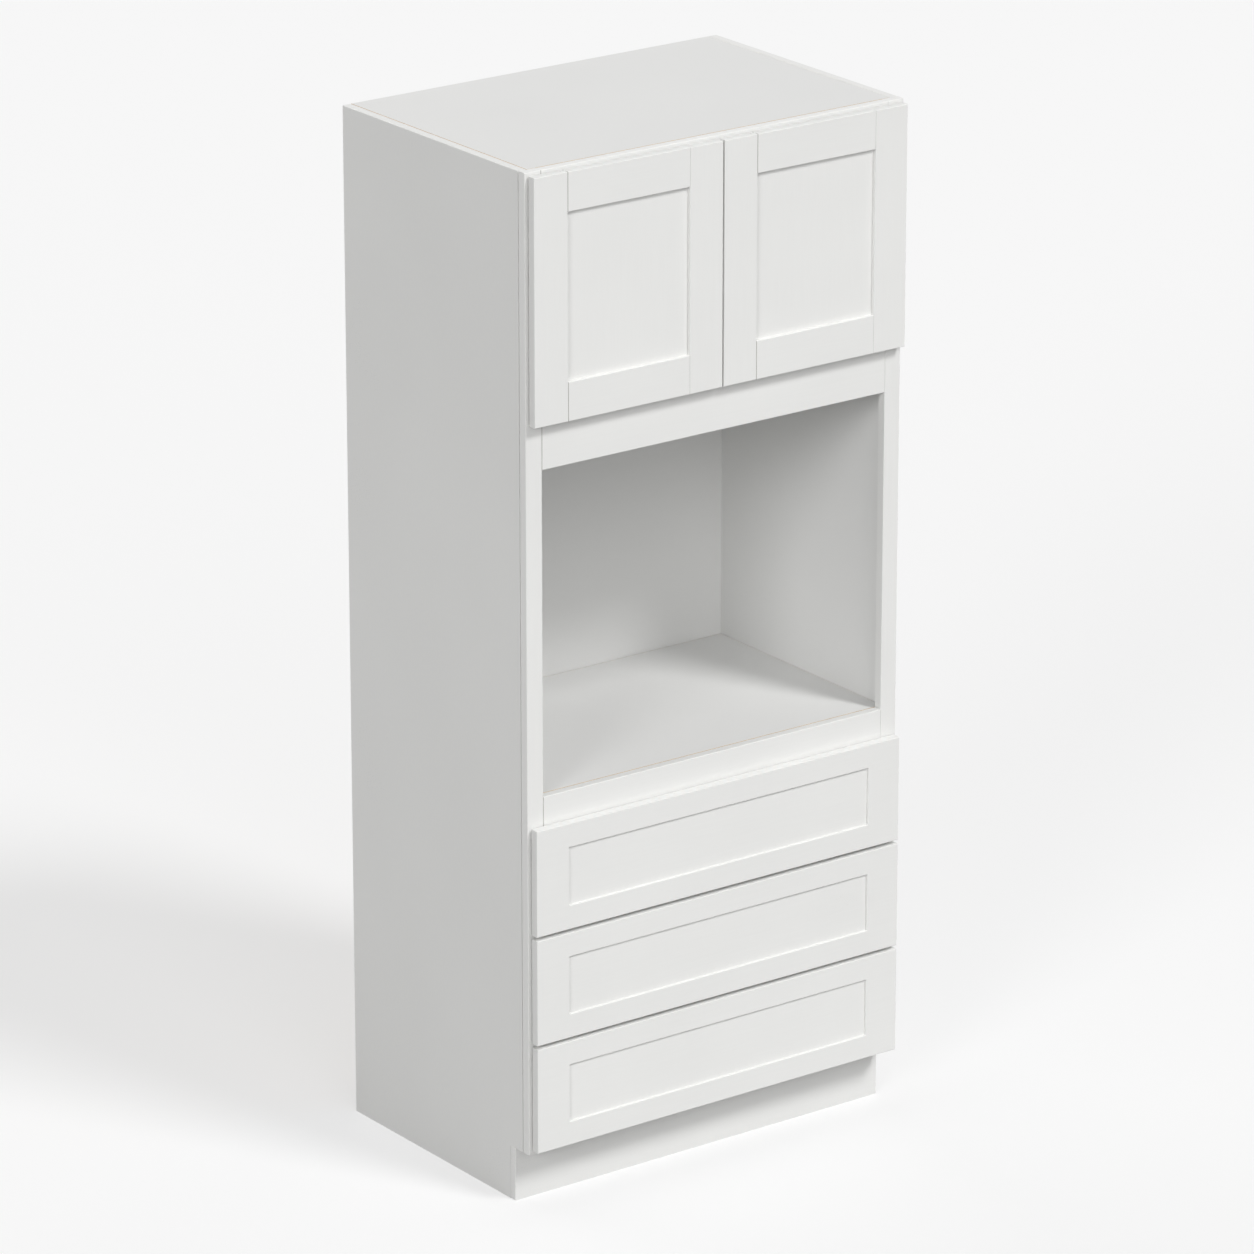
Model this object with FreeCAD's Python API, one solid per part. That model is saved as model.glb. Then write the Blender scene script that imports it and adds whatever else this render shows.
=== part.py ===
import FreeCAD, Part
import math
import os

from FreeCAD import Vector

# A tall framed oven cabinet: two doors at the top, an open oven bay, three drawers and a toe recess.
# X runs to the right, Y to the back and Z up. The origin is on the floor, at the footprint's middle.
# All sizes are in millimetres.

# Overall size, over the face frame and without the doors and drawer fronts
cabinet_width = 914.4
cabinet_depth = 609.6
cabinet_height = 2133.6

# Carcass boards and the housings that hold them
side_thickness = 19.0
deck_thickness = 19.0
back_thickness = 12.0
nailer_thickness = 38.0
nailer_height = 89.0
cleat_thickness = 19.0
cleat_height = 38.0
housing_depth = 6.5
tongue_thickness = 9.5
board_bevel = 1.0
glue_gap = 0.1
wall_screw_spacing = 406.4
wall_screw_diameter = 5.0

# Toe recess
toe_height = 114.3
toe_notch_depth = 63.5
toe_board_thickness = 15.9

# Face frame
frame_thickness = 19.0
stile_width = 38.1
top_rail_height = 38.1
stile_groove_depth = 5.5
seam_width = 3.0
seam_depth = 3.0
tenon_setback = 5.0
tenon_thickness = 7.0
tenon_length = 22.0
tenon_shoulder = 5.0
frame_bevel = 1.0

# Doors and drawer fronts, which lie on the face frame
front_thickness = 19.0
front_gap = 3.0
front_round = 1.5
back_bevel = 1.0
side_reveal = 6.35
top_reveal = 6.35
bottom_reveal = 9.5
meeting_gap = 4.0
rail_lap = 15.0

# Heights on the face, from the toe recess up
drawer_names = ("bottom", "middle", "top")
drawer_front_height = 222.25
drawer_front_gap = 8.0
sill_shown = 59.5
oven_opening_height = 670.0
head_shown = 95.0

# Doors of stiles and rails round a flat panel
door_frame_width = 79.0
door_bevel = 1.0
panel_thickness = 6.0
panel_setback = 8.0
panel_groove_depth = 10.0
panel_play = 1.5
stub_play = 0.5
groove_clearance = 0.1

# Drawer fronts with a sunk field
field_side_margin = 78.0
field_rail_margin = 50.0
field_depth = 5.0
field_bevel = 1.0

# Dovetailed drawer boxes
box_board_thickness = 15.0
box_height = 150.0
box_rear_room = 42.6
box_lift = 16.0
box_bottom_thickness = 6.0
box_bottom_height = 10.0
box_bottom_seat = 7.0
box_bevel = 1.0
tail_count = 4
tail_length = 10.0
tail_tip_width = 25.0
tail_slope = 1.0 / 6.0

# Three-member drawer slides
slide_space = 12.7
slide_height = 45.0
slide_gauge = 1.3
slide_clearance = 0.3
slide_setback = 2.0
slide_rear_setback = 7.0
slide_rise = 62.0
cabinet_lip = 4.0
intermediate_lip = 6.3
spacer_height = 70.0

# Concealed hinges
hinge_end_distance = 90.0
cup_diameter = 35.0
cup_depth = 11.5
cup_wall = 0.8
cup_setback = 20.3
cup_clearance = 0.1
cup_rim = 0.8
flange_thickness = 1.2
flange_length = 58.0
flange_width = 22.0
flange_corner = 4.0
pin_diameter = 2.0
pin_clearance = 0.05
pin_setback = 6.3
pin_depth = 6.5
knuckle_wall = 0.85
arm_thickness = 1.4
arm_height = 8.0
arm_plate_height = 44.0
arm_plate_depth = 16.0
arm_plate_setback = 1.0

# Soft bumpers behind the fronts
bumper_width = 9.0
bumper_bevel = 1.5
bumper_clearance = 0.2
door_bumper_offset = 30.0
door_bumper_drop = 16.0
drawer_bumper_drop = 32.0

# Places across the width, measured from the middle
half_width = cabinet_width / 2
opening_half = half_width - stile_width
side_inner = half_width - side_thickness
front_half = half_width - side_reveal
box_half = opening_half - slide_space

# Places in depth, with the footprint's middle at zero
front_y = -(front_thickness + front_gap + cabinet_depth) / 2
front_back_y = front_y + front_thickness
frame_y = front_back_y + front_gap
frame_back_y = frame_y + frame_thickness
back_y = frame_y + cabinet_depth
nailer_y = back_y - nailer_thickness
back_panel_y = nailer_y - back_thickness
notch_y = frame_y + toe_notch_depth
box_back_y = back_panel_y - box_rear_room
slide_y = frame_y + slide_setback
slide_back_y = box_back_y - slide_rear_setback
pin_y = front_back_y - pin_depth

# Heights
drawer_pitch = drawer_front_height + drawer_front_gap
drawer_bottoms = [toe_height + bottom_reveal + index * drawer_pitch for index in range(len(drawer_names))]
drawer_tops = [bottom + drawer_front_height for bottom in drawer_bottoms]
oven_floor = drawer_tops[-1] + sill_shown
oven_ceiling = oven_floor + oven_opening_height
door_bottom = oven_ceiling + head_shown
door_top = cabinet_height - top_reveal
cupboard_floor = door_bottom + rail_lap
bottom_panel_top = drawer_bottoms[0] + rail_lap
top_panel_bottom = cabinet_height - deck_thickness
hinge_heights = (door_bottom + hinge_end_distance, door_top - hinge_end_distance)
box_bottoms = [bottom + rail_lap + box_lift for bottom in drawer_bottoms]

# Limits of the rails of the face frame, from the bottom up
rail_limits = {
    "bottom_rail": (toe_height, bottom_panel_top),
    "lower_drawer_rail": (drawer_tops[0] - rail_lap, drawer_bottoms[1] + rail_lap),
    "upper_drawer_rail": (drawer_tops[1] - rail_lap, drawer_bottoms[2] + rail_lap),
    "sill_rail": (drawer_tops[2] - rail_lap, oven_floor),
    "head_rail": (oven_ceiling, cupboard_floor),
    "top_rail": (cabinet_height - top_rail_height, cabinet_height),
}

sides = {"left": -1, "right": 1}
across_x = Vector(1, 0, 0)
along_y = Vector(0, 1, 0)
up_z = Vector(0, 0, 1)
same_place = 1e-6


def span(side, first, second):
    """Ordered limits across the width, on the left (-1) or the right (1) of the middle."""
    return tuple(sorted((side * first, side * second)))


def board(x, y, z):
    """A square-edged board between low and high limits along each axis."""
    lengths = [high - low for low, high in (x, y, z)]
    return Part.makeBox(*lengths, Vector(x[0], y[0], z[0]))


def prism(points, direction):
    """A closed outline of straight lines, extruded."""
    outline = Part.makePolygon(points + points[:1])
    return Part.Face(outline).extrude(direction)


def cylinder(diameter, start, end):
    """A round bar between two points."""
    direction = end - start
    return Part.makeCylinder(diameter / 2, direction.Length, start, direction)


def edges_in(solid, **planes):
    """The edges that lie in every named plane, such as x=10 and y=0."""
    found = []
    for edge in solid.Edges:
        points = [vertex.Point for vertex in edge.Vertexes]
        offsets = [getattr(point, axis) - place for point in points for axis, place in planes.items()]
        if max(map(abs, offsets)) < same_place:
            found.append(edge)
    return found


def save(name, *solids):
    """Write one node: a single solid, or a group of like ones."""
    shape = solids[0] if len(solids) == 1 else Part.makeCompound(solids)
    shape.exportStep(f"parts/{name}.step")


# Carcass

def deck_tongue(side, top, depth_limits, reach):
    """The tongue on the end of a deck, or the housing for it when it reaches further."""
    low = top - deck_thickness
    return board(span(side, side_inner, side_inner + reach), depth_limits, (low, low + tongue_thickness))


def deck(top, depth_limits):
    """A deck between the sides, with eased upper edges and a tongue along each end."""
    solid = board((-side_inner, side_inner), depth_limits, (top - deck_thickness, top))
    solid = solid.makeChamfer(board_bevel, edges_in(solid, z=top))
    for side in sides.values():
        solid = solid.fuse(deck_tongue(side, top, depth_limits, housing_depth - glue_gap))
    return solid.removeSplitter()


def side_panel(side):
    """A side panel with its toe notch, its deck housings and the groove for the back."""
    outline = [
        (frame_back_y, toe_height),
        (frame_back_y, cabinet_height),
        (back_y, cabinet_height),
        (back_y, 0),
        (notch_y, 0),
        (notch_y, toe_height),
    ]
    inner_x, outer_x = span(side, side_inner, half_width)
    solid = prism([Vector(inner_x, y, z) for y, z in outline], across_x * (outer_x - inner_x))
    solid = solid.makeChamfer(board_bevel, edges_in(solid, z=cabinet_height))
    seam = span(side, half_width - seam_depth, half_width)
    solid = solid.cut(board(seam, (frame_back_y, frame_back_y + seam_width), (toe_height, cabinet_height)))
    solid = solid.fuse(side_tongue(side))
    for top, depth_limits in deck_places.values():
        solid = solid.cut(deck_tongue(side, top, depth_limits, housing_depth))
    groove = span(side, side_inner, side_inner + housing_depth)
    return solid.cut(board(groove, (back_panel_y, nailer_y), (bottom_panel_top, top_panel_bottom)))


def side_tongue(side):
    """The tongue along the front of a side panel, which fills the groove in the frame's stile."""
    depths = (frame_back_y - stile_groove_depth, frame_back_y)
    return board(span(side, side_inner, side_inner + tongue_thickness), depths, (toe_height, cabinet_height))


def wall_screw_holes():
    """Clearance holes for the two wall screws, through the upper nailer and the back."""
    height = top_panel_bottom - nailer_height / 2
    start = Vector(0, back_panel_y, height)
    end = Vector(0, back_y, height)
    offsets = [across_x * (side * wall_screw_spacing / 2) for side in sides.values()]
    return [cylinder(wall_screw_diameter, start + offset, end + offset) for offset in offsets]


def back_panel():
    """The back, housed in the sides between the bottom and top panels."""
    reach = side_inner + housing_depth - glue_gap
    solid = board((-reach, reach), (back_panel_y, nailer_y), (bottom_panel_top, top_panel_bottom))
    return solid.cut(wall_screw_holes())


def nailers():
    """Three rails behind the back: at the top, half way up and at the bottom."""
    lowest = bottom_panel_top
    highest = top_panel_bottom - nailer_height
    rails = []
    for low in (lowest, (lowest + highest) / 2, highest):
        rails.append(board((-side_inner, side_inner), (nailer_y, back_y), (low, low + nailer_height)))
    rails[-1] = rails[-1].cut(wall_screw_holes())
    return rails


def oven_deck_cleats():
    """A cleat along each side, under the deck that carries the oven."""
    top = oven_floor - deck_thickness
    limits = [span(side, side_inner - cleat_thickness, side_inner) for side in sides.values()]
    return [board(x, (frame_back_y, back_panel_y), (top - cleat_height, top)) for x in limits]


def toe_board():
    """The board across the front of the toe notches, eased round its ends."""
    depth_limits = (notch_y - toe_board_thickness, notch_y)
    solid = board((-half_width, half_width), depth_limits, (0, toe_height))
    end_edges = [edge for side in sides.values() for edge in edges_in(solid, x=side * half_width)]
    return solid.makeChamfer(board_bevel, end_edges)


# Face frame

def frame_tenon(side, limits, gap):
    """A stub tenon on the end of a frame rail, or its mortise when a gap is added."""
    reach = opening_half + tenon_length + gap
    depth_limits = (frame_y + tenon_setback, frame_y + tenon_setback + tenon_thickness)
    heights = (limits[0] + tenon_shoulder, limits[1] - tenon_shoulder)
    return board(span(side, opening_half, reach), depth_limits, heights)


def frame_rail(limits):
    """A rail of the face frame, eased on its edges and tenoned at both ends."""
    solid = board((-opening_half, opening_half), (frame_y, frame_back_y), limits)
    solid = solid.makeChamfer(frame_bevel, edges_in(solid, y=frame_y) + edges_in(solid, y=frame_back_y))
    for side in sides.values():
        solid = solid.fuse(frame_tenon(side, limits, 0))
    return solid


def frame_stile(side):
    """A stile of the face frame, mortised for the rails and grooved for the side panel's tongue."""
    heights = (toe_height, cabinet_height)
    solid = board(span(side, opening_half, half_width), (frame_y, frame_back_y), heights)
    solid = solid.makeChamfer(frame_bevel, edges_in(solid, y=frame_y))
    solid = solid.cut(side_tongue(side))
    for limits in rail_limits.values():
        solid = solid.cut(frame_tenon(side, limits, glue_gap))
    return solid


# Doors

def panel_groove(x, z):
    """The groove round the inside of a door frame, over the given limits."""
    front = front_y + panel_setback - groove_clearance
    return board(x, (front, front + panel_thickness + 2 * groove_clearance), z)


def eased_front(solid, outer_planes, inner_planes):
    """Ease a door board: round and bevel it on the door's outline, and bevel its face elsewhere."""
    rounded = [edge for plane in outer_planes for edge in edges_in(solid, y=front_y, **plane)]
    solid = solid.makeFillet(front_round, rounded)
    bevelled = [edge for plane in inner_planes for edge in edges_in(solid, y=front_y, **plane)]
    solid = solid.makeChamfer(door_bevel, bevelled)
    back_edges = [edge for plane in outer_planes for edge in edges_in(solid, y=front_back_y, **plane)]
    return solid.makeChamfer(back_bevel, back_edges)


def door_stile(side, outer, inner):
    """A full-height stile, grooved along its inner edge. The limits are distances from the middle."""
    outer_x = side * outer
    inner_x = side * inner
    solid = board(span(side, outer, inner), (front_y, front_back_y), (door_bottom, door_top))
    solid = eased_front(solid, [{"x": outer_x}, {"z": door_bottom}, {"z": door_top}], [{"x": inner_x}])
    inward = math.copysign(panel_groove_depth, outer - inner)
    return solid.cut(panel_groove(span(side, inner, inner + inward), (door_bottom, door_top)))


def hinge_stile(side):
    """The outer stile of a door, bored for the hinge cups."""
    solid = door_stile(side, front_half, front_half - door_frame_width)
    for height in hinge_heights:
        mouth = Vector(side * (front_half - cup_setback), front_back_y, height)
        floor = mouth - along_y * (cup_depth + cup_clearance)
        solid = solid.cut(cylinder(cup_diameter + 2 * cup_clearance, floor, mouth))
    return solid


def door_rail(side, outer_z, inner_z):
    """A rail between the stiles, with a stub at each end and a groove along its inner edge."""
    near = meeting_gap / 2 + door_frame_width
    far = front_half - door_frame_width
    stub = panel_groove_depth - stub_play
    heights = tuple(sorted((outer_z, inner_z)))
    solid = board(span(side, near, far), (front_y, front_back_y), heights)
    ends = [{"x": side * near}, {"x": side * far}]
    solid = eased_front(solid, [{"z": outer_z}], ends + [{"z": inner_z}])
    stub_depths = (front_y + panel_setback, front_y + panel_setback + panel_thickness)
    solid = solid.fuse(board(span(side, near - stub, far + stub), stub_depths, heights))
    groove_end = inner_z + math.copysign(panel_groove_depth, outer_z - inner_z)
    groove_heights = tuple(sorted((inner_z, groove_end)))
    return solid.cut(panel_groove(span(side, near - stub, far + stub), groove_heights))


def door_panel(side):
    """The flat panel, loose in the grooves."""
    housed = panel_groove_depth - panel_play
    near = meeting_gap / 2 + door_frame_width - housed
    far = front_half - door_frame_width + housed
    low = door_bottom + door_frame_width - housed
    high = door_top - door_frame_width + housed
    depths = (front_y + panel_setback, front_y + panel_setback + panel_thickness)
    return board(span(side, near, far), depths, (low, high))


# Hinges

def cup_body(side, height):
    """The round outside of a hinge cup, sunk in the back of the door."""
    mouth = Vector(side * (front_half - cup_setback), front_back_y, height)
    return cylinder(cup_diameter, mouth - along_y * cup_depth, mouth)


def hinge_pin(side, height):
    """The pivot pin across a hinge cup, dressed flush with the outside of its wall."""
    middle = Vector(side * (front_half - pin_setback), pin_y, height)
    reach = up_z * (cup_diameter / 2)
    return cylinder(pin_diameter, middle - reach, middle + reach).common(cup_body(side, height))


def hinge_cup(side, height):
    """A pressed cup with a rim and two screw ears on the back of the door."""
    mouth = Vector(side * (front_half - cup_setback), front_back_y, height)
    outside = mouth + along_y * flange_thickness
    ears = board(
        (mouth.x - flange_width / 2, mouth.x + flange_width / 2),
        (mouth.y, outside.y),
        (height - flange_length / 2, height + flange_length / 2),
    )
    ears = ears.makeChamfer(flange_corner, [edge for edge in ears.Edges if is_along(edge, along_y)])
    rim = cylinder(cup_diameter + 2 * cup_rim, mouth, outside)
    solid = cup_body(side, height).fuse([ears, rim])
    hollow_floor = mouth - along_y * (cup_depth - cup_wall)
    solid = solid.cut(cylinder(cup_diameter - 2 * cup_wall, hollow_floor, outside))
    return solid.cut(hinge_pin(side, height)).removeSplitter()


def is_along(edge, direction):
    """Whether a straight edge runs along a direction."""
    first, last = [vertex.Point for vertex in edge.Vertexes]
    return (last - first).cross(direction).Length < same_place


def hinge_arm(side, height):
    """A strap from the pin, out of the cup and back along the stile, where its plate is screwed."""
    pin_x = front_half - pin_setback
    strap_x = opening_half - arm_thickness
    middle = Vector(side * pin_x, pin_y, height)
    half_up = up_z * (arm_height / 2)
    heights = (height - arm_height / 2, height + arm_height / 2)
    strap_depths = (pin_y - arm_thickness / 2, pin_y + arm_thickness / 2)
    plate_depths = (frame_y + arm_plate_setback, frame_y + arm_plate_depth)
    plate_heights = (height - arm_plate_height / 2, height + arm_plate_height / 2)
    knuckle_diameter = pin_diameter + 2 * (pin_clearance + knuckle_wall)
    solid = cylinder(knuckle_diameter, middle - half_up, middle + half_up)
    solid = solid.fuse([
        board(span(side, strap_x, pin_x), strap_depths, heights),
        board(span(side, strap_x, opening_half), (strap_depths[0], plate_depths[1]), heights),
        board(span(side, strap_x, opening_half), plate_depths, plate_heights),
    ])
    bore = cylinder(pin_diameter + 2 * pin_clearance, middle - half_up, middle + half_up)
    return solid.cut(bore).removeSplitter()


# Drawers

def drawer_front(index):
    """A one-piece front with a square-cornered sunk field, whose mouth is eased."""
    heights = (drawer_bottoms[index], drawer_tops[index])
    solid = board((-front_half, front_half), (front_y, front_back_y), heights)
    solid = solid.makeFillet(front_round, edges_in(solid, y=front_y))
    solid = solid.makeChamfer(back_bevel, edges_in(solid, y=front_back_y))
    field_half = front_half - field_side_margin
    field_heights = (heights[0] + field_rail_margin, heights[1] - field_rail_margin)
    solid = solid.cut(board((-field_half, field_half), (front_y, front_y + field_depth), field_heights))
    mouth = [edge for edge in edges_in(solid, y=front_y) if reach_across(edge) < field_half + same_place]
    return solid.makeChamfer(field_bevel, mouth)


def reach_across(edge):
    """How far the ends of an edge lie from the middle of the cabinet's width."""
    return max(abs(vertex.X) for vertex in edge.Vertexes)


def tail_outline(shoulder_y, outward, low):
    """Points up one end of a drawer side: the tails widen away from the shoulder."""
    pitch = box_height / tail_count
    root_width = tail_tip_width - 2 * tail_length * tail_slope
    tip_y = shoulder_y + outward * tail_length
    points = [(shoulder_y, low)]
    for index in range(tail_count):
        middle = low + pitch * (index + 0.5)
        points.append((shoulder_y, middle - root_width / 2))
        points.append((tip_y, middle - tail_tip_width / 2))
        points.append((tip_y, middle + tail_tip_width / 2))
        points.append((shoulder_y, middle + root_width / 2))
    points.append((shoulder_y, low + box_height))
    return points


def box_side_blank(side, low):
    """A drawer side before its groove, with tails at both ends and eased upper edges."""
    front_end = tail_outline(front_back_y + box_board_thickness, -1, low)
    back_end = tail_outline(box_back_y - box_board_thickness, 1, low)
    inner_x, outer_x = span(side, box_half - box_board_thickness, box_half)
    points = [Vector(inner_x, y, z) for y, z in front_end + back_end[::-1]]
    solid = prism(points, across_x * (outer_x - inner_x))
    upper_edges = [edge for edge in edges_in(solid, z=low + box_height) if is_along(edge, along_y)]
    return solid.makeChamfer(box_bevel, upper_edges)


def box_bottom(low, gap):
    """The bottom of a drawer box, or the groove for it when a gap is added."""
    reach = box_half - box_board_thickness + box_bottom_seat + gap
    ends = box_board_thickness - box_bottom_seat - gap
    underside = low + box_bottom_height
    heights = (underside, underside + box_bottom_thickness + gap)
    return board((-reach, reach), (front_back_y + ends, box_back_y - ends), heights)


def drawer_box(low):
    """The boards of one drawer box, by name."""
    groove = box_bottom(low, groove_clearance)
    blanks = {name: box_side_blank(side, low) for name, side in sides.items()}
    boards = {name + "_side": blank.cut(groove) for name, blank in blanks.items()}
    end_depths = {
        "box_front": (front_back_y, front_back_y + box_board_thickness),
        "box_back": (box_back_y - box_board_thickness, box_back_y),
    }
    for name, depth_limits in end_depths.items():
        blank = board((-box_half, box_half), depth_limits, (low, low + box_height))
        boards[name] = blank.cut(list(blanks.values()) + [groove])
    boards["box_bottom"] = box_bottom(low, 0)
    return boards


# Drawer slides

def slide_member(outline, side, middle_z):
    """Extrude a slide's section, given as distances from the spacer and from its own middle."""
    points = [Vector(side * (opening_half - inward), slide_y, middle_z + rise) for inward, rise in outline]
    return prism(points, along_y * (slide_back_y - slide_y))


def lipped_channel(start, depth, half_height, lip):
    """The section of a channel whose flanges turn in to a lip."""
    end = start + depth
    upper_half = [
        (end, half_height - lip),
        (end, half_height),
        (start, half_height),
    ]
    upper_inside = [
        (start + slide_gauge, half_height - slide_gauge),
        (end - slide_gauge, half_height - slide_gauge),
        (end - slide_gauge, half_height - lip),
    ]
    lower_half = [(inward, -rise) for inward, rise in upper_half[::-1]]
    lower_inside = [(inward, -rise) for inward, rise in upper_inside[::-1]]
    return upper_half + lower_half + lower_inside + upper_inside


def hat_section(start, half_height, crown_half):
    """The section of the drawer member: two feet in the channel and a crown on the drawer side."""
    foot = start + slide_gauge
    upper_half = [
        (foot, half_height),
        (foot, crown_half),
        (slide_space, crown_half),
    ]
    upper_inside = [
        (slide_space - slide_gauge, crown_half - slide_gauge),
        (start, crown_half - slide_gauge),
        (start, half_height),
    ]
    lower_half = [(inward, -rise) for inward, rise in upper_half[::-1]]
    lower_inside = [(inward, -rise) for inward, rise in upper_inside[::-1]]
    return upper_half + lower_half + lower_inside + upper_inside


def slide_sections():
    """The nested sections of the three members of a slide."""
    step = slide_gauge + slide_clearance
    intermediate_depth = 2 * step + slide_gauge
    cabinet_half = slide_height / 2
    intermediate_half = cabinet_half - step
    return {
        "cabinet": lipped_channel(0, intermediate_depth + 2 * step, cabinet_half, cabinet_lip),
        "intermediate": lipped_channel(step, intermediate_depth, intermediate_half, intermediate_lip),
        "drawer": hat_section(
            2 * step,
            intermediate_half - step,
            intermediate_half - intermediate_lip - slide_clearance,
        ),
    }


def slide_pair(outline, low):
    """The same member on both sides of a drawer."""
    return [slide_member(outline, side, low + slide_rise) for side in sides.values()]


def slide_spacer(side, low):
    """A wood strip that brings a slide level with the edge of the frame opening."""
    middle = low + slide_rise
    heights = (middle - spacer_height / 2, middle + spacer_height / 2)
    return board(span(side, opening_half, side_inner), (frame_back_y, back_panel_y), heights)


# Bumpers

def bumper(x, z):
    """A square soft bumper with a bevelled crown, on the front of the face frame."""
    half = bumper_width / 2
    crown_y = front_back_y + bumper_clearance
    solid = board((x - half, x + half), (crown_y, frame_y), (z - half, z + half))
    return solid.makeChamfer(bumper_bevel, edges_in(solid, y=crown_y))


def bumpers():
    """Two behind each door's meeting stile and two behind each drawer front."""
    places = []
    for side in sides.values():
        places.append((side * door_bumper_offset, door_top - door_bumper_drop))
        places.append((side * door_bumper_offset, door_bottom + rail_lap / 2))
        middle_of_lap = side * (opening_half + front_half) / 2
        places += [(middle_of_lap, top - drawer_bumper_drop) for top in drawer_tops]
    return [bumper(x, z) for x, z in places]


# Build and save every piece
os.makedirs("parts", exist_ok=True)

full_depth = (frame_back_y, back_y)
bay_depth = (frame_back_y, back_panel_y)
deck_places = {
    "bottom_panel": (bottom_panel_top, full_depth),
    "oven_deck": (oven_floor, bay_depth),
    "upper_deck": (cupboard_floor, bay_depth),
    "top_panel": (cabinet_height, full_depth),
}

for name, (top, depth_limits) in deck_places.items():
    save(name, deck(top, depth_limits))
save("back_panel", back_panel())
save("rear_nailers", *nailers())
save("oven_deck_cleats", *oven_deck_cleats())
save("toe_board", toe_board())

for name, limits in rail_limits.items():
    save("frame_" + name, frame_rail(limits))

for name, side in sides.items():
    save(f"{name}_side_panel", side_panel(side))
    save(f"frame_{name}_stile", frame_stile(side))
    save(f"{name}_door_hinge_stile", hinge_stile(side))
    save(f"{name}_door_meeting_stile", door_stile(side, meeting_gap / 2, meeting_gap / 2 + door_frame_width))
    save(f"{name}_door_top_rail", door_rail(side, door_top, door_top - door_frame_width))
    save(f"{name}_door_bottom_rail", door_rail(side, door_bottom, door_bottom + door_frame_width))
    save(f"{name}_door_panel", door_panel(side))
    save(f"{name}_door_hinge_cups", *[hinge_cup(side, height) for height in hinge_heights])
    save(f"{name}_door_hinge_pins", *[hinge_pin(side, height) for height in hinge_heights])

save("hinge_arms", *[hinge_arm(side, height) for side in sides.values() for height in hinge_heights])

sections = slide_sections()
cabinet_members = []
spacers = []
for index, name in enumerate(drawer_names):
    low = box_bottoms[index]
    save(f"{name}_drawer_front", drawer_front(index))
    for part, solid in drawer_box(low).items():
        save(f"{name}_drawer_{part}", solid)
    save(f"{name}_drawer_runners", *slide_pair(sections["drawer"], low))
    save(f"{name}_intermediate_runners", *slide_pair(sections["intermediate"], low))
    cabinet_members += slide_pair(sections["cabinet"], low)
    spacers += [slide_spacer(side, low) for side in sides.values()]
save("cabinet_runners", *cabinet_members)
save("slide_spacers", *spacers)
save("bumpers", *bumpers())
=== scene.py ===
import math

import bpy
from mathutils import Matrix, Vector


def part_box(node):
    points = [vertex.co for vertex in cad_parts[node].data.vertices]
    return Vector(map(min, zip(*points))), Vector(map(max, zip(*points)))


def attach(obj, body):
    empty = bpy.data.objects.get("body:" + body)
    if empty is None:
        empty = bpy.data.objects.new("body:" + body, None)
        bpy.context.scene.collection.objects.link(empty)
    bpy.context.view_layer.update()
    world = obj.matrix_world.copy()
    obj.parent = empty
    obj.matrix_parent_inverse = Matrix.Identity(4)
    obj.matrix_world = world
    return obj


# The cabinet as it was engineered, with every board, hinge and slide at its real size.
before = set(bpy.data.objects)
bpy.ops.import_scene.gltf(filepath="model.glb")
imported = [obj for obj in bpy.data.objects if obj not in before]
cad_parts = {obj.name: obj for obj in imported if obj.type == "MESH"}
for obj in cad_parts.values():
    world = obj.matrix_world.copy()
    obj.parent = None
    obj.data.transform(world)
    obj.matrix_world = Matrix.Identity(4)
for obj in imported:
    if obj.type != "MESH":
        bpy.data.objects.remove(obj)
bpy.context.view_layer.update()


# Face frame
# Maple stiles and rails on glued tenons, sanded and sprayed with white satin lacquer.
# The grain runs along each board and shows as a faint relief under the film.

def add_node(tree, kind, inputs=None, **settings):
    """Add a shader node. An input's value is a number, a colour or another node's output."""
    node = tree.nodes.new("ShaderNode" + kind)
    for setting, value in settings.items():
        setattr(node, setting, value)
    for socket, value in (inputs or {}).items():
        if isinstance(value, bpy.types.NodeSocket):
            tree.links.new(value, node.inputs[socket])
        else:
            node.inputs[socket].default_value = value
    return node


def noise(tree, vector, scale, detail):
    """A cloud of values about 0.5, with features one metre over the scale."""
    return add_node(tree, "TexNoise", {"Vector": vector, "Scale": scale, "Detail": detail}).outputs["Fac"]


def spread(tree, value, low, high, start=0.3, end=0.7):
    """Stretch a value from the range between start and end to the range between low and high."""
    ends = {"Value": value, "From Min": start, "From Max": end, "To Min": low, "To Max": high}
    return add_node(tree, "MapRange", ends).outputs["Result"]


def mixed(tree, factor, first, second, blend="MIX"):
    """One colour laid over another."""
    colours = {"Factor": factor, 6: first, 7: second}
    return add_node(tree, "Mix", colours, data_type="RGBA", blend_type=blend).outputs[2]


def added(tree, first, second, operation="ADD"):
    """The sum of two values, or another sum that the operation names."""
    return add_node(tree, "Math", {0: first, 1: second}, operation=operation).outputs[0]


def new_group(name, inputs):
    """Start a shader node group that gives a surface its colour, roughness and height."""
    tree = bpy.data.node_groups.new(name, "ShaderNodeTree")
    for label, kind in inputs.items():
        tree.interface.new_socket(label, in_out="INPUT", socket_type="NodeSocket" + kind)
    for label, kind in {"Colour": "Color", "Roughness": "Float", "Height": "Float"}.items():
        tree.interface.new_socket(label, in_out="OUTPUT", socket_type="NodeSocket" + kind)
    return tree, tree.nodes.new("NodeGroupInput").outputs, tree.nodes.new("NodeGroupOutput").inputs


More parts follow.
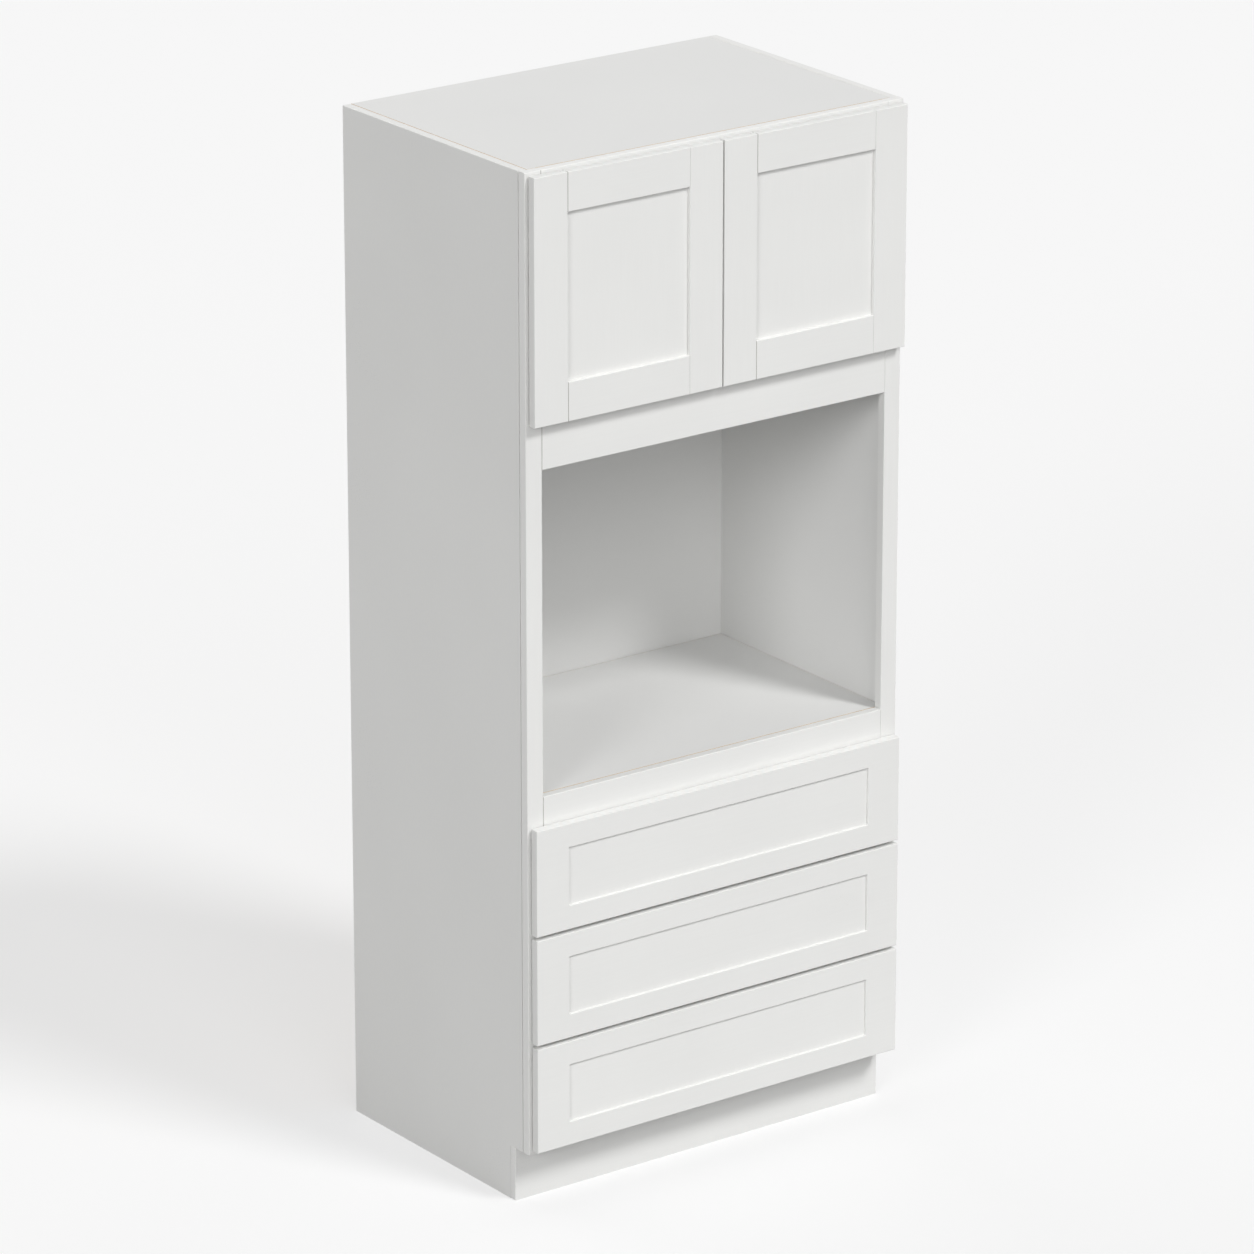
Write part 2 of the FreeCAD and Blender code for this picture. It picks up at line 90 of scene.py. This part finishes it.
def lacquer_film():
    """What a spray gun leaves: slow drifts of tone, fine orange peel, and the grain raised below."""
    tree, given, result = new_group("lacquer film", tinted_inputs)
    drift = noise(tree, given["Position"], scale=3.0, detail=2.0)
    peel = noise(tree, given["Position"], scale=420.0, detail=1.0)
    fibre = noise(tree, given["Grain"], scale=260.0, detail=3.0)
    tone = added(tree, spread(tree, drift, 0.975, 1.0), spread(tree, fibre, -0.012, 0.0))
    tree.links.new(mixed(tree, 1.0, given["Colour"], tone, "MULTIPLY"), result["Colour"])
    gloss = added(tree, spread(tree, drift, 0.30, 0.38), spread(tree, peel, -0.03, 0.03))
    tree.links.new(gloss, result["Roughness"])
    relief = added(tree, spread(tree, peel, 0.0, 0.5), spread(tree, fibre, 0.0, 0.5))
    tree.links.new(relief, result["Height"])
    return tree


def place_of(tree):
    """The place of each point of a surface, in metres."""
    return add_node(tree, "TexCoord").outputs["Object"]


def shader_of(material):
    """The shader that a material's finish feeds."""
    return material.node_tree.nodes["Principled BSDF"]


def new_material(name, group, grain_axis, grain_stretch, colours, relief):
    """A material from a group, with its grain drawn out along X (0), Y (1) or Z (2)."""
    material = bpy.data.materials.new(name)
    material.use_nodes = True
    tree = material.node_tree
    shader = shader_of(material)
    position = place_of(tree)
    stretch = [1.0, 1.0, 1.0]
    stretch[grain_axis] = 1.0 / grain_stretch
    grain = add_node(tree, "Mapping", {"Vector": position, "Scale": stretch}).outputs["Vector"]
    surface = add_node(tree, "Group", {"Position": position, "Grain": grain, **colours}, node_tree=group)
    height = {"Height": surface.outputs["Height"], "Strength": relief_strength, "Distance": relief}
    bump = add_node(tree, "Bump", height)
    tree.links.new(surface.outputs["Colour"], shader.inputs["Base Color"])
    tree.links.new(surface.outputs["Roughness"], shader.inputs["Roughness"])
    tree.links.new(bump.outputs["Normal"], shader.inputs["Normal"])
    return material


def part_of(tree, output, axis):
    """The X, Y or Z part of a point's place (Object) or of the way its surface faces (Normal)."""
    whole = add_node(tree, "TexCoord").outputs[output]
    return add_node(tree, "SeparateXYZ", {"Vector": whole}).outputs[axis]


def facing_share(tree, axis):
    """How squarely a surface faces along an axis: one when square to it, and 0.7 on a bevel."""
    return added(tree, part_of(tree, "Normal", axis), 0.0, "ABSOLUTE")


def shade_where(material, facing, limit, shade):
    """Darken a material where a measure of the way that its surface faces is over a limit."""
    tree = material.node_tree
    shown = shader_of(material).inputs["Base Color"]
    own = shown.links[0].from_socket
    mask = added(tree, facing, limit, "GREATER_THAN")
    tree.links.new(mixed(tree, mask, own, shade, "MULTIPLY"), shown)
    return material


def dress(material, *names):
    """Give engineered pieces their finish."""
    for name in names:
        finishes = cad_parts[name].data.materials
        finishes.clear()
        finishes.append(material)


def white_lacquer(name, grain_axis):
    """The lacquer of the frame, the doors and the drawer fronts."""
    return new_material(name, lacquer, grain_axis, lacquer_stretch, lacquer_white, lacquer_relief)


def jointed_lacquer(name):
    """The lacquer of a rail, with a hairline of painted shade on its end bevels, for the shade in the
    joint's groove and for the film parting over the joint.
    """
    material = white_lacquer(name, level_grain)
    to_the_side = facing_share(material.node_tree, "X")
    return shade_where(material, to_the_side, bevel_facing, joint_crack_and_painted_shade)


level_grain = 0
deep_grain = 1
upright_grain = 2
relief_strength = 0.5
tinted_inputs = {"Position": "Vector", "Grain": "Vector", "Colour": "Color"}
lacquer = lacquer_film()
lacquer_white = {"Colour": (0.82, 0.82, 0.805, 1.0)}
lacquer_stretch = 30.0
lacquer_relief = 0.00006
bevel_facing = 0.5
# Grey of the joint hairlines: painted shade of the joints' grooves, and on the rails also the film parting
# over the joint
joint_crack_and_painted_shade = (0.55, 0.54, 0.52, 1.0)
upright_lacquer = white_lacquer("white lacquer, upright grain", upright_grain)
level_lacquer = white_lacquer("white lacquer, level grain", level_grain)
rail_lacquer = jointed_lacquer("white lacquer, jointed rail")
sides = ("left", "right")
frame_rails = ("bottom", "lower_drawer", "upper_drawer", "sill", "head", "top")
dress(upright_lacquer, *[f"frame_{side}_stile" for side in sides])
dress(rail_lacquer, *[f"frame_{rail}_rail" for rail in frame_rails])


# Sides, decks and toe board
# Plywood, sprayed outside in a flatter white than the frame's and faced inside with white melamine.
# The decks are tongued into the sides, with bare edges and bevels, and the toe board is nailed on.

def melamine_face():
    """A pressed melamine face: an even white with a fine pearl texture."""
    tree, given, result = new_group("melamine face", tinted_inputs)
    drift = noise(tree, given["Position"], scale=2.0, detail=2.0)
    pearl = noise(tree, given["Grain"], scale=650.0, detail=2.0)
    tone = added(tree, spread(tree, drift, 0.98, 1.0), spread(tree, pearl, -0.01, 0.0))
    tree.links.new(mixed(tree, 1.0, given["Colour"], tone, "MULTIPLY"), result["Colour"])
    tree.links.new(spread(tree, pearl, 0.54, 0.66), result["Roughness"])
    tree.links.new(pearl, result["Height"])
    return tree


def plywood_edge():
    """The bare edge of plywood: thin veneers, every other one with its end grain showing."""
    tree, given, result = new_group("plywood edge", {"Position": "Vector", "Depth": "Float"})
    layer = added(tree, added(tree, given["Depth"], veneer_thickness, "DIVIDE"), 1.0, "PINGPONG")
    pores = noise(tree, given["Position"], scale=700.0, detail=2.0)
    crossed = added(tree, spread(tree, layer, 0.0, 0.8, 0.42, 0.58), spread(tree, pores, -0.2, 0.2))
    tree.links.new(mixed(tree, crossed, long_grain_colour, end_grain_colour), result["Colour"])
    tree.links.new(spread(tree, pores, 0.6, 0.75), result["Roughness"])
    tree.links.new(added(tree, pores, crossed, "SUBTRACT"), result["Height"])
    return tree


def lay_over(material, mask, surface):
    """Where a mask is one, show another surface in place of a material's own."""
    tree = material.node_tree
    inputs = shader_of(material).inputs
    for socket, output in {"Base Color": "Colour", "Roughness": "Roughness"}.items():
        own = inputs[socket].links[0].from_socket
        tree.links.new(mixed(tree, mask, own, surface.outputs[output]), inputs[socket])


def bare_edge(material, thickness_axis, mask):
    """Leave a board bare where a mask is one, with its veneers across the board's thickness."""
    tree = material.node_tree
    position = place_of(tree)
    depth = added(tree, part_of(tree, "Object", thickness_axis), 0.0, "ABSOLUTE")
    edge = add_node(tree, "Group", {"Position": position, "Depth": depth}, node_tree=veneers)
    lay_over(material, mask, edge)
    return material


def side_board():
    """White lacquer outside, melamine on the face towards the inside, and a bare rear edge."""
    material = new_material("side board", lacquer, upright_grain, side_stretch, side_white, lacquer_relief)
    tree = material.node_tree
    position = place_of(tree)
    faced = {"Position": position, "Grain": position, **melamine_white}
    lining = add_node(tree, "Group", faced, node_tree=melamine)
    inner_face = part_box("right_side_panel")[0].x + lining_thickness
    from_middle = added(tree, part_of(tree, "Object", "X"), 0.0, "ABSOLUTE")
    lay_over(material, added(tree, from_middle, inner_face, "LESS_THAN"), lining)
    rear = added(tree, part_of(tree, "Normal", "Y"), bevel_facing, "GREATER_THAN")
    return bare_edge(material, "X", rear)


def melamine_board(name, grain_axis):
    """A board faced with melamine, whose pearl is a little longer along one axis and barely shines."""
    material = new_material(name, melamine, grain_axis, pearl_stretch, melamine_white, pearl_relief)
    shader_of(material).inputs["Specular IOR Level"].default_value = melamine_shine
    return material


def toe_lacquer():
    """The frame's lacquer, greyer on its rear face and rear bevels as painted shade, so that a hairline
    shows where the board meets the sides.
    """
    material = white_lacquer("white lacquer, toe board", level_grain)
    to_the_rear = part_of(material.node_tree, "Normal", "Y")
    return shade_where(material, to_the_rear, bevel_facing, joint_crack_and_painted_shade)


def deck_board():
    """Melamine on the two level faces, and bare plywood on the edges and the bevels round them."""
    material = melamine_board("deck board", level_grain)
    tree = material.node_tree
    return bare_edge(material, "Z", added(tree, facing_share(tree, "Z"), square_facing, "LESS_THAN"))


veneer_thickness = 0.0016
lining_thickness = 0.0005
long_grain_colour = (0.72, 0.57, 0.39, 1.0)
end_grain_colour = (0.46, 0.31, 0.17, 1.0)
side_white = {"Colour": (0.79, 0.79, 0.775, 1.0)}
side_stretch = 3.0
melamine_white = {"Colour": (0.78, 0.78, 0.77, 1.0)}
melamine_shine = 0.15
pearl_stretch = 1.5
pearl_relief = 0.00008
square_facing = 0.9
veneers = plywood_edge()
melamine = melamine_face()
dress(side_board(), *[f"{side}_side_panel" for side in sides])
dress(deck_board(), "bottom_panel", "oven_deck", "upper_deck", "top_panel")
dress(toe_lacquer(), "toe_board")


# Back panel, nailers, cleats and slide spacers
# The back is plywood, white towards the bay and bare towards the wall. Pine nailers behind it take
# the wall screws. Bare cleats carry the oven deck, and bare spacers carry the drawer slides.

def bare_wood():
    """Sawn and planed wood: growth rings as long bands, fine fibres, and pores as short dark flecks."""
    inputs = {"Position": "Vector", "Grain": "Vector", "Early wood": "Color", "Late wood": "Color"}
    tree, given, result = new_group("bare wood", inputs)
    figure = noise(tree, given["Grain"], scale=9.0, detail=1.0)
    rings = added(tree, added(tree, figure, ring_count, "MULTIPLY"), 0.0, "SINE")
    fibre = noise(tree, given["Grain"], scale=800.0, detail=4.0)
    pores = noise(tree, given["Grain"], scale=2400.0, detail=1.0)
    fleck = spread(tree, pores, 0.0, 0.4, 0.62, 0.74)
    blotch = noise(tree, given["Position"], scale=5.0, detail=2.0)
    band = added(tree, spread(tree, rings, 0.0, 0.5, -0.4, 1.0), spread(tree, fibre, -0.2, 0.3))
    depth = added(tree, band, spread(tree, blotch, -0.08, 0.12))
    shade = added(tree, depth, fleck)
    tree.links.new(mixed(tree, shade, given["Early wood"], given["Late wood"]), result["Colour"])
    tree.links.new(spread(tree, fibre, 0.50, 0.68), result["Roughness"])
    ring_relief = spread(tree, rings, 0.0, 0.3, -1.0, 1.0)
    planed = added(tree, ring_relief, spread(tree, fibre, 0.0, 0.5))
    tree.links.new(added(tree, planed, fleck, "SUBTRACT"), result["Height"])
    return tree


def bare_board(name, grain_axis, grain_stretch, colours, relief):
    """A bare board, darker where it is cut across the grain."""
    material = new_material(name, wood, grain_axis, grain_stretch, colours, relief)
    along_grain = facing_share(material.node_tree, grain_axis)
    return shade_where(material, along_grain, across_grain, end_grain_shade)


def back_board():
    """White melamine towards the bay, and bare plywood on every other face."""
    material = melamine_board("back board", upright_grain)
    tree = material.node_tree
    position = place_of(tree)
    upright = {"Vector": position, "Scale": (1.0, 1.0, 1.0 / plywood_stretch)}
    grain = add_node(tree, "Mapping", upright).outputs["Vector"]
    sheet = add_node(tree, "Group", {"Position": position, "Grain": grain, **plywood}, node_tree=wood)
    bare = added(tree, part_of(tree, "Normal", "Y"), -bevel_facing, "GREATER_THAN")
    lay_over(material, bare, sheet)
    return material


ring_count = 42.0
across_grain = 0.7
end_grain_shade = (0.66, 0.58, 0.50, 1.0)
wood = bare_wood()
pine = {"Early wood": (0.72, 0.53, 0.31, 1.0), "Late wood": (0.50, 0.29, 0.12, 1.0)}
pine_stretch = 22.0
pine_relief = 0.00025
plywood = {"Early wood": (0.70, 0.54, 0.36, 1.0), "Late wood": (0.56, 0.39, 0.22, 1.0)}
plywood_stretch = 20.0
level_pine = bare_board("bare pine, level grain", level_grain, pine_stretch, pine, pine_relief)
deep_pine = bare_board("bare pine, front to back", deep_grain, pine_stretch, pine, pine_relief)
dress(back_board(), "back_panel")
dress(level_pine, "rear_nailers")
dress(deep_pine, "oven_deck_cleats", "slide_spacers")


# Doors
# Five-piece doors: maple stiles and rails round a flat panel, which floats in their grooves.
# Stiles and panels have upright grain, rails level grain, all under the same white lacquer.
for side in sides:
    dress(upright_lacquer, *[f"{side}_door_{part}" for part in ("hinge_stile", "meeting_stile", "panel")])
    dress(rail_lacquer, f"{side}_door_top_rail", f"{side}_door_bottom_rail")


# Hinges
# Cups, arms and pins pressed from zinc-plated steel. Each cup's ears are screwed to the back of
# the door, and each arm's plate to the inner edge of the face frame.

def plated_steel():
    """Zinc plate: faint spangle, and fine lines along the way the strip was rolled."""
    tree, given, result = new_group("plated steel", tinted_inputs)
    spangle = noise(tree, given["Position"], scale=160.0, detail=2.0)
    lines = noise(tree, given["Grain"], scale=900.0, detail=2.0)
    tone = added(tree, spread(tree, spangle, 0.97, 1.0), spread(tree, lines, -0.05, 0.0))
    tree.links.new(mixed(tree, 1.0, given["Colour"], tone, "MULTIPLY"), result["Colour"])
    gloss = added(tree, spread(tree, spangle, 0.25, 0.29), spread(tree, lines, 0.0, 0.06))
    tree.links.new(gloss, result["Roughness"])
    tree.links.new(lines, result["Height"])
    return tree


def steel(name, grain_axis):
    """Zinc-plated steel, rolled along one axis."""
    material = new_material(name, plate, grain_axis, rolled_stretch, zinc, rolled_relief)
    shader_of(material).inputs["Metallic"].default_value = 1.0
    return material


plate = plated_steel()
zinc = {"Colour": (0.52, 0.53, 0.55, 1.0)}
rolled_stretch = 40.0
rolled_relief = 0.00002
upright_steel = steel("zinc-plated steel, upright", upright_grain)
dress(upright_steel, "hinge_arms")
for side in sides:
    dress(upright_steel, f"{side}_door_hinge_cups", f"{side}_door_hinge_pins")


def select_edges(piece, wanted):
    """Select, in edit mode, the edges of which both ends pass a test."""
    bpy.ops.object.mode_set(mode="EDIT")
    bpy.ops.mesh.select_mode(type="EDGE")
    bpy.ops.mesh.select_all(action="DESELECT")
    bpy.ops.object.mode_set(mode="OBJECT")
    vertices = piece.data.vertices
    for edge in piece.data.edges:
        edge.select = all(wanted(vertices[index].co) for index in edge.vertices)
    bpy.ops.object.mode_set(mode="EDIT")


def model_screw(name, radius, height):
    """A screw's domed head with a cross recess, which stands on the origin and points up."""
    bpy.ops.object.select_all(action="DESELECT")
    middle = (0, 0, height / 2)
    bpy.ops.mesh.primitive_cylinder_add(vertices=head_sides, radius=radius, depth=height, location=middle)
    head = bpy.context.object
    head.name = name
    bpy.ops.object.transform_apply(location=True)
    select_edges(head, lambda point: point.z > middle[2])
    bpy.ops.mesh.bevel(offset=dome_share * height, segments=dome_steps, affect="EDGES")
    bpy.ops.object.mode_set(mode="OBJECT")
    for turn in (0.0, math.pi / 2):
        cut_slot(head, turn, radius, height)
    bpy.ops.object.shade_smooth_by_angle(angle=smooth_angle)
    return head


def cut_slot(head, turn, radius, height):
    """Cut one arm of the cross recess, which narrows towards its floor."""
    bpy.ops.object.select_all(action="DESELECT")
    bpy.ops.mesh.primitive_cube_add(size=1.0, location=(0, 0, height), rotation=(0, 0, turn))
    blade = bpy.context.object
    blade.scale = (slot_length * radius, slot_width * radius, 2 * slot_depth * height)
    bpy.ops.object.transform_apply(location=True, rotation=True, scale=True)
    select_edges(blade, lambda point: point.z < height)
    bpy.ops.transform.resize(value=(slot_taper, slot_taper, 1.0), center_override=(0, 0, height))
    bpy.ops.object.mode_set(mode="OBJECT")
    bpy.context.view_layer.objects.active = head
    cut = head.modifiers.new("recess", "BOOLEAN")
    cut.operation = "DIFFERENCE"
    cut.object = blade
    bpy.ops.object.modifier_apply(modifier=cut.name)
    bpy.data.objects.remove(blade)


def place_screws(pattern, name, seats, body):
    """Copies of a modelled screw, one at each seat and facing its way, as one piece on a body."""
    copies = []
    for seat, facing in seats:
        screw = pattern.copy()
        screw.data = pattern.data.copy()
        bpy.context.scene.collection.objects.link(screw)
        turn = Vector(facing).to_track_quat("Z", "Y").to_matrix().to_4x4()
        screw.data.transform(Matrix.Translation(seat) @ turn)
        copies.append(screw)
    bpy.ops.object.select_all(action="DESELECT")
    for screw in copies:
        screw.select_set(True)
    bpy.context.view_layer.objects.active = copies[0]
    bpy.ops.object.join()
    copies[0].name = name
    copies[0].data.materials.clear()
    copies[0].data.materials.append(upright_steel)
    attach(copies[0], body)


head_sides = 28
dome_share = 0.6
dome_steps = 3
slot_length = 1.1
slot_width = 0.28
slot_depth = 0.6
slot_taper = 0.7
smooth_angle = math.radians(35)
ear_length = 0.058
ear_screw_spacing = 0.048
arm_thickness = 0.0014
plate_depth = 0.015
plate_screw_spacing = 0.030
ear_screw = model_screw("ear_screw", radius=0.0036, height=0.0011)
plate_screw = model_screw("plate_screw", radius=0.0034, height=0.0016)
plate_seats = []
for side, inward in {"left": 1, "right": -1}.items():
    cups_low, cups_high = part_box(f"{side}_door_hinge_cups")
    cup_x = (cups_low.x + cups_high.x) / 2
    hinge_heights = (cups_low.z + ear_length / 2, cups_high.z - ear_length / 2)
    stile_low, stile_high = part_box(f"frame_{side}_stile")
    plate_x = (stile_high.x if inward > 0 else stile_low.x) + inward * arm_thickness
    plate_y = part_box("hinge_arms")[1].y - plate_depth / 2
    ear_seats = []
    for height in hinge_heights:
        for offset in (-0.5, 0.5):
            ear_seat = Vector((cup_x, cups_high.y, height + offset * ear_screw_spacing))
            plate_seat = Vector((plate_x, plate_y, height + offset * plate_screw_spacing))
            ear_seats.append((ear_seat, (0, 1, 0)))
            plate_seats.append((plate_seat, (inward, 0, 0)))
    place_screws(ear_screw, f"{side}_hinge_ear_screws", ear_seats, f"{side}_door")
place_screws(plate_screw, "hinge_plate_screws", plate_seats, "cabinet")
bpy.data.objects.remove(ear_screw)
bpy.data.objects.remove(plate_screw)


# Drawer fronts
# Each is one maple board with a square-cornered field sunk in its face, under the same white lacquer.
# It lies over the box front, and screws from inside the box hold it.
drawers = ("bottom", "middle", "top")
dress(level_lacquer, *[f"{name}_drawer_front" for name in drawers])

front_screw_inset = 0.16
front_screw_margin = 0.035
front_screw = model_screw("front_screw", radius=0.0048, height=0.0024)
for name in drawers:
    board_low, board_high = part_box(f"{name}_drawer_box_front")
    seats = []
    for x in (board_low.x + front_screw_inset, board_high.x - front_screw_inset):
        for z in (board_low.z + front_screw_margin, board_high.z - front_screw_margin):
            seats.append((Vector((x, board_high.y, z)), (0, 1, 0)))
    place_screws(front_screw, f"{name}_drawer_front_screws", seats, f"{name}_drawer")
bpy.data.objects.remove(front_screw)


# Drawer boxes
# Solid birch boards under clear lacquer, dovetailed at all four corners, with a birch plywood bottom
# held in their grooves. The pins between the tails show end grain.
birch = {"Early wood": (0.74, 0.58, 0.39, 1.0), "Late wood": (0.62, 0.44, 0.26, 1.0)}
birch_stretch = 26.0
birch_relief = 0.00012
deep_birch = bare_board("birch, front to back", deep_grain, birch_stretch, birch, birch_relief)
level_birch = bare_board("birch, level grain", level_grain, birch_stretch, birch, birch_relief)
for name in drawers:
    dress(deep_birch, *[f"{name}_drawer_{side}_side" for side in sides])
    dress(level_birch, *[f"{name}_drawer_{part}" for part in ("box_front", "box_back", "box_bottom")])


# Drawer slides
# Three nested members of rolled zinc-plated steel a side. The outer one is on the cabinet's spacer,
# the middle one runs half as far as the drawer, and the inner one is screwed to the drawer side.
deep_steel = steel("zinc-plated steel, front to back", deep_grain)
dress(deep_steel, "cabinet_runners")
slide_gauge = 0.0013
slide_screw_places = (0.06, 0.5, 0.94)
slide_screw = model_screw("slide_screw", radius=0.0038, height=0.0018)
for name in drawers:
    dress(deep_steel, f"{name}_drawer_runners", f"{name}_intermediate_runners")
    slides_low, slides_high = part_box(f"{name}_drawer_runners")
    box_low, box_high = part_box(f"{name}_drawer_left_side")[0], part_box(f"{name}_drawer_right_side")[1]
    slide_z = (slides_low.z + slides_high.z) / 2
    seats = []
    for share in slide_screw_places:
        slide_y = slides_low.y + share * (slides_high.y - slides_low.y)
        seats.append((Vector((box_low.x - slide_gauge, slide_y, slide_z)), (-1, 0, 0)))
        seats.append((Vector((box_high.x + slide_gauge, slide_y, slide_z)), (1, 0, 0)))
    place_screws(slide_screw, f"{name}_slide_screws", seats, f"{name}_drawer")
bpy.data.objects.remove(slide_screw)


# Bumpers
# Square pads of clear soft polyurethane, stuck to the face frame where the doors and drawer fronts
# close on it.

def soft_pad():
    """Clear soft plastic with a little haze and dust."""
    material = new_material("clear bumper", melamine, upright_grain, pad_stretch, haze, pad_relief)
    shader = shader_of(material)
    shader.inputs["Subsurface Weight"].default_value = pad_clearness
    shader.inputs["Subsurface Radius"].default_value = (light_reach, light_reach, light_reach)
    return material


haze = {"Colour": (0.78, 0.79, 0.79, 1.0)}
pad_stretch = 1.0
pad_relief = 0.00002
pad_clearness = 0.4
light_reach = 0.002
dress(soft_pad(), "bumpers")


# Studio
# A pale floor under an even pale background. A high soft key comes from the right, a low light from
# the left draws the recessed edges of the fronts, and soft fills reach the bay, right side and back.

def seen_directly(tree):
    """One for what the camera sees straight, in a mirror or through glass, and zero for light."""
    path = add_node(tree, "LightPath").outputs
    reflected = added(tree, path["Is Glossy Ray"], path["Is Transmission Ray"], "MAXIMUM")
    return added(tree, path["Is Camera Ray"], reflected, "MAXIMUM")


def add_sun(name, azimuth, elevation, strength, softness):
    """A distant lamp, by its degrees to the right of straight in front, up, and across."""
    lamp = bpy.data.objects.new(name, bpy.data.lights.new(name, "SUN"))
    lamp.data.energy = strength
    lamp.data.angle = math.radians(softness)
    lamp.rotation_euler = (math.radians(90 - elevation), 0.0, math.radians(azimuth))
    bpy.context.scene.collection.objects.link(lamp)


white = (1.0, 1.0, 1.0, 1.0)
floor_grey = (0.4, 0.4, 0.4, 1.0)
floor_roughness = 0.9
floor_radius = 60.0
floor_sides = 96
floor_shown = 0.55
bpy.ops.object.select_all(action="DESELECT")
bpy.ops.mesh.primitive_circle_add(vertices=floor_sides, radius=floor_radius, fill_type="NGON")
floor = bpy.context.object
floor.name = "studio_floor"
floor_paint = bpy.data.materials.new("studio floor")
floor_paint.use_nodes = True
floor_shader = shader_of(floor_paint)
floor_shader.inputs["Base Color"].default_value = floor_grey
floor_shader.inputs["Roughness"].default_value = floor_roughness
floor_shader.inputs["Specular IOR Level"].default_value = 0.0
floor_shader.inputs["Emission Color"].default_value = white
floor_glow = added(floor_paint.node_tree, seen_directly(floor_paint.node_tree), floor_shown, "MULTIPLY")
floor_paint.node_tree.links.new(floor_glow, floor_shader.inputs["Emission Strength"])
floor.data.materials.append(floor_paint)

sky_light = 0.2
sky_shown = 0.96
world = bpy.data.worlds.new("studio")
world.use_nodes = True
background = world.node_tree.nodes["Background"]
background.inputs["Color"].default_value = white
sky_strength = spread(world.node_tree, seen_directly(world.node_tree), sky_light, sky_shown, 0.0, 1.0)
world.node_tree.links.new(sky_strength, background.inputs["Strength"])
bpy.context.scene.world = world

add_sun("high key", azimuth=20.0, elevation=48.0, strength=1.75, softness=14.0)
add_sun("low side light", azimuth=-61.0, elevation=22.0, strength=1.0, softness=20.0)
add_sun("front fill", azimuth=-18.0, elevation=25.0, strength=0.6, softness=30.0)
add_sun("right fill", azimuth=95.0, elevation=15.0, strength=0.5, softness=40.0)
add_sun("rear fill", azimuth=188.0, elevation=15.0, strength=1.1, softness=40.0)


# Camera
# It stands far off to the front left and above, with a long lens, as in the drawing.
view_azimuth = math.radians(36.4)
view_elevation = math.radians(19.4)
view_distance = 14.25
view_aim = Vector((-0.001, -0.0016, 1.0474))
framed_width = 2.5155
camera = bpy.data.objects.new("camera", bpy.data.cameras.new("camera"))
camera.data.lens = camera.data.sensor_width * view_distance / framed_width
camera.rotation_euler = (math.pi / 2 - view_elevation, 0.0, -view_azimuth)
camera.location = view_aim + camera.rotation_euler.to_matrix() @ Vector((0.0, 0.0, view_distance))
bpy.context.scene.collection.objects.link(camera)
bpy.context.scene.camera = camera
bpy.context.scene.view_settings.view_transform = "Standard"
